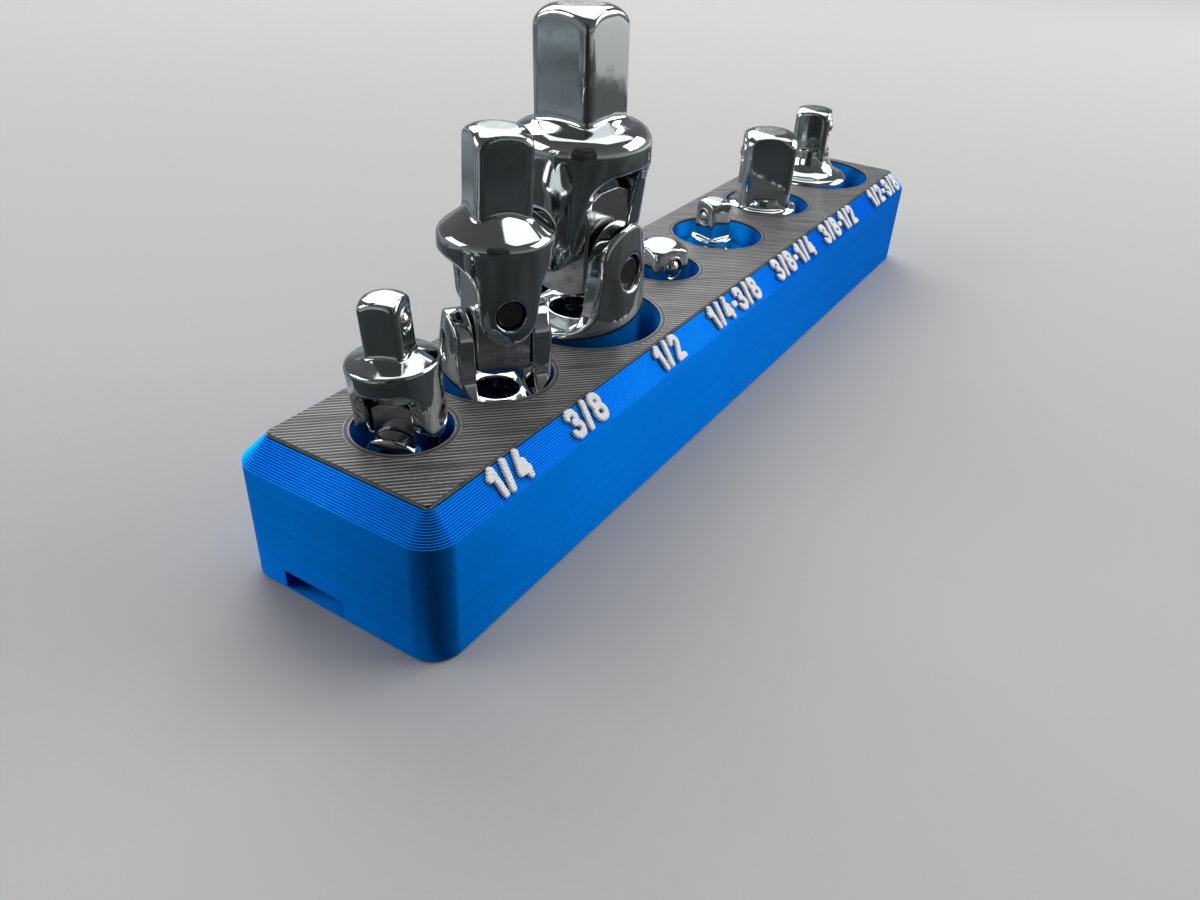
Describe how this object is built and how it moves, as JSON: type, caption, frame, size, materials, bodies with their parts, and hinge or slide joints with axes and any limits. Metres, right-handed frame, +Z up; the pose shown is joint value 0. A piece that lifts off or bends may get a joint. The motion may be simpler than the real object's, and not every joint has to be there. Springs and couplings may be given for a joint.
{
  "type": "magnetic tool tray",
  "caption": "Long low tray with a sloped rim that holds universal joints and square drive adapters upright in round pockets, with bar magnets in a slot below.",
  "frame": {"origin": "centre of the underside", "axes": "+X along the row of tools from the smallest joint to the last adapter, +Y away from the labels, +Z up"},
  "size_m": [0.215, 0.042, 0.0826],
  "materials": {
    "tray_plastic": "blue printed plastic, satin, with fine layer lines",
    "deck_plastic": "near-black printed plastic with diagonal print lines",
    "label_plastic": "white printed plastic",
    "magnet": "nickel plated",
    "chrome": "polished chrome plate",
    "pin_steel": "ground steel",
    "block_steel": "plated steel",
    "ball_steel": "polished steel",
    "spring_steel": "spring wire"
  },
  "bodies": {
    "tray": {"tray_body": "tray_plastic", "deck_inlay": "deck_plastic", "label_1": "label_plastic", "label_2": "label_plastic", "label_3": "label_plastic", "label_4": "label_plastic", "label_5": "label_plastic", "label_6": "label_plastic", "label_7": "label_plastic"},
    "magnets": {"bar_magnets": "magnet"},
    "joint_14_socket": {"joint_14_socket_fork": "chrome"},
    "joint_14_cross": {"joint_14_cross_block": "block_steel", "joint_14_lower_pin": "pin_steel", "joint_14_upper_pin": "pin_steel"},
    "joint_14_drive": {"joint_14_drive_fork": "chrome", "joint_14_spring": "spring_steel"},
    "joint_14_ball": {"joint_14_ball": "ball_steel"},
    "joint_38_socket": {"joint_38_socket_fork": "chrome"},
    "joint_38_cross": {"joint_38_cross_block": "block_steel", "joint_38_lower_pin": "pin_steel", "joint_38_upper_pin": "pin_steel"},
    "joint_38_drive": {"joint_38_drive_fork": "chrome", "joint_38_spring": "spring_steel"},
    "joint_38_ball": {"joint_38_ball": "ball_steel"},
    "joint_12_socket": {"joint_12_socket_fork": "chrome"},
    "joint_12_cross": {"joint_12_cross_block": "block_steel", "joint_12_lower_pin": "pin_steel", "joint_12_upper_pin": "pin_steel"},
    "joint_12_drive": {"joint_12_drive_fork": "chrome", "joint_12_spring": "spring_steel"},
    "joint_12_ball": {"joint_12_ball": "ball_steel"},
    "adapter_14_38": {"adapter_14_38_body": "chrome", "adapter_14_38_spring": "spring_steel"},
    "adapter_14_38_ball": {"adapter_14_38_ball": "ball_steel"},
    "adapter_38_14": {"adapter_38_14_body": "chrome", "adapter_38_14_spring": "spring_steel"},
    "adapter_38_14_ball": {"adapter_38_14_ball": "ball_steel"},
    "adapter_38_12": {"adapter_38_12_body": "chrome", "adapter_38_12_spring": "spring_steel"},
    "adapter_38_12_ball": {"adapter_38_12_ball": "ball_steel"},
    "adapter_12_38": {"adapter_12_38_body": "chrome", "adapter_12_38_spring": "spring_steel"},
    "adapter_12_38_ball": {"adapter_12_38_ball": "ball_steel"}
  },
  "joints": [
    {"name": "magnets_slide", "type": "slide", "parent": "tray", "child": "magnets", "axis": [-1, 0, 0], "range_m": [0, 0.18]},
    {"name": "joint_14_lift", "type": "slide", "parent": "tray", "child": "joint_14_socket", "axis": [0, 0, 1], "range_m": [0, 0.025]},
    {"name": "joint_14_lower_hinge", "type": "hinge", "parent": "joint_14_socket", "child": "joint_14_cross", "pos_m": [-0.08894, 0.00064, 0.0243], "axis": [0.9304, 0.3665, 0], "range_deg": [-12, 18]},
    {"name": "joint_14_upper_hinge", "type": "hinge", "parent": "joint_14_cross", "child": "joint_14_drive", "pos_m": [-0.08908, 0.00099, 0.02899], "axis": [0.3653, -0.9274, 0.0802], "range_deg": [-35, 35]},
    {"name": "joint_14_ball_press", "type": "slide", "parent": "joint_14_drive", "child": "joint_14_ball", "axis": [-0.3653, 0.9274, -0.0802], "range_m": [0, 0.0005], "stiffness_N_per_m": 800, "springref_m": -0.002, "deforming": ["joint_14_spring"]},
    {"name": "joint_38_lift", "type": "slide", "parent": "tray", "child": "joint_38_socket", "axis": [0, 0, 1], "range_m": [0, 0.025]},
    {"name": "joint_38_lower_hinge", "type": "hinge", "parent": "joint_38_socket", "child": "joint_38_cross", "pos_m": [-0.06564, 0.0003, 0.033], "axis": [0.8141, -0.5807, 0], "range_deg": [-45, 45]},
    {"name": "joint_38_upper_hinge", "type": "hinge", "parent": "joint_38_cross", "child": "joint_38_drive", "pos_m": [-0.06564, 0.0003, 0.0409], "axis": [0.5807, 0.8141, 0], "range_deg": [-45, 45]},
    {"name": "joint_38_ball_press", "type": "slide", "parent": "joint_38_drive", "child": "joint_38_ball", "axis": [-0.5807, -0.8141, 0], "range_m": [0, 0.0006], "stiffness_N_per_m": 1000, "springref_m": -0.002, "deforming": ["joint_38_spring"]},
    {"name": "joint_12_lift", "type": "slide", "parent": "tray", "child": "joint_12_socket", "axis": [0, 0, 1], "range_m": [0, 0.025]},
    {"name": "joint_12_lower_hinge", "type": "hinge", "parent": "joint_12_socket", "child": "joint_12_cross", "pos_m": [-0.03727, 0.00235, 0.0384], "axis": [-0.0541, -0.9985, 0], "range_deg": [-45, 18]},
    {"name": "joint_12_upper_hinge", "type": "hinge", "parent": "joint_12_cross", "child": "joint_12_drive", "pos_m": [-0.03727, 0.00235, 0.0474], "axis": [-0.9985, 0.0541, 0], "range_deg": [-36, 36]},
    {"name": "joint_12_ball_press", "type": "slide", "parent": "joint_12_drive", "child": "joint_12_ball", "axis": [-0.9985, 0.0541, 0], "range_m": [0, 0.00075], "stiffness_N_per_m": 1200, "springref_m": -0.002, "deforming": ["joint_12_spring"]},
    {"name": "adapter_14_38_lift", "type": "slide", "parent": "tray", "child": "adapter_14_38", "axis": [0, 0, 1], "range_m": [0, 0.025]},
    {"name": "adapter_14_38_ball_press", "type": "slide", "parent": "adapter_14_38", "child": "adapter_14_38_ball", "axis": [0.3907, 0.9205, 0], "range_m": [0, 0.0006], "stiffness_N_per_m": 1000, "springref_m": -0.002, "deforming": ["adapter_14_38_spring"]},
    {"name": "adapter_38_14_lift", "type": "slide", "parent": "tray", "child": "adapter_38_14", "axis": [0, 0, 1], "range_m": [0, 0.025]},
    {"name": "adapter_38_14_ball_press", "type": "slide", "parent": "adapter_38_14", "child": "adapter_38_14_ball", "axis": [0.9336, -0.3584, 0], "range_m": [0, 0.0005], "stiffness_N_per_m": 800, "springref_m": -0.002, "deforming": ["adapter_38_14_spring"]},
    {"name": "adapter_38_12_lift", "type": "slide", "parent": "tray", "child": "adapter_38_12", "axis": [0, 0, 1], "range_m": [0, 0.025]},
    {"name": "adapter_38_12_ball_press", "type": "slide", "parent": "adapter_38_12", "child": "adapter_38_12_ball", "axis": [0.5, -0.866, 0], "range_m": [0, 0.00075], "stiffness_N_per_m": 1200, "springref_m": -0.002, "deforming": ["adapter_38_12_spring"]},
    {"name": "adapter_12_38_lift", "type": "slide", "parent": "tray", "child": "adapter_12_38", "axis": [0, 0, 1], "range_m": [0, 0.025]},
    {"name": "adapter_12_38_ball_press", "type": "slide", "parent": "adapter_12_38", "child": "adapter_12_38_ball", "axis": [-0.2419, 0.9703, 0], "range_m": [0, 0.0006], "stiffness_N_per_m": 1000, "springref_m": -0.002, "deforming": ["adapter_12_38_spring"]}
  ]
}
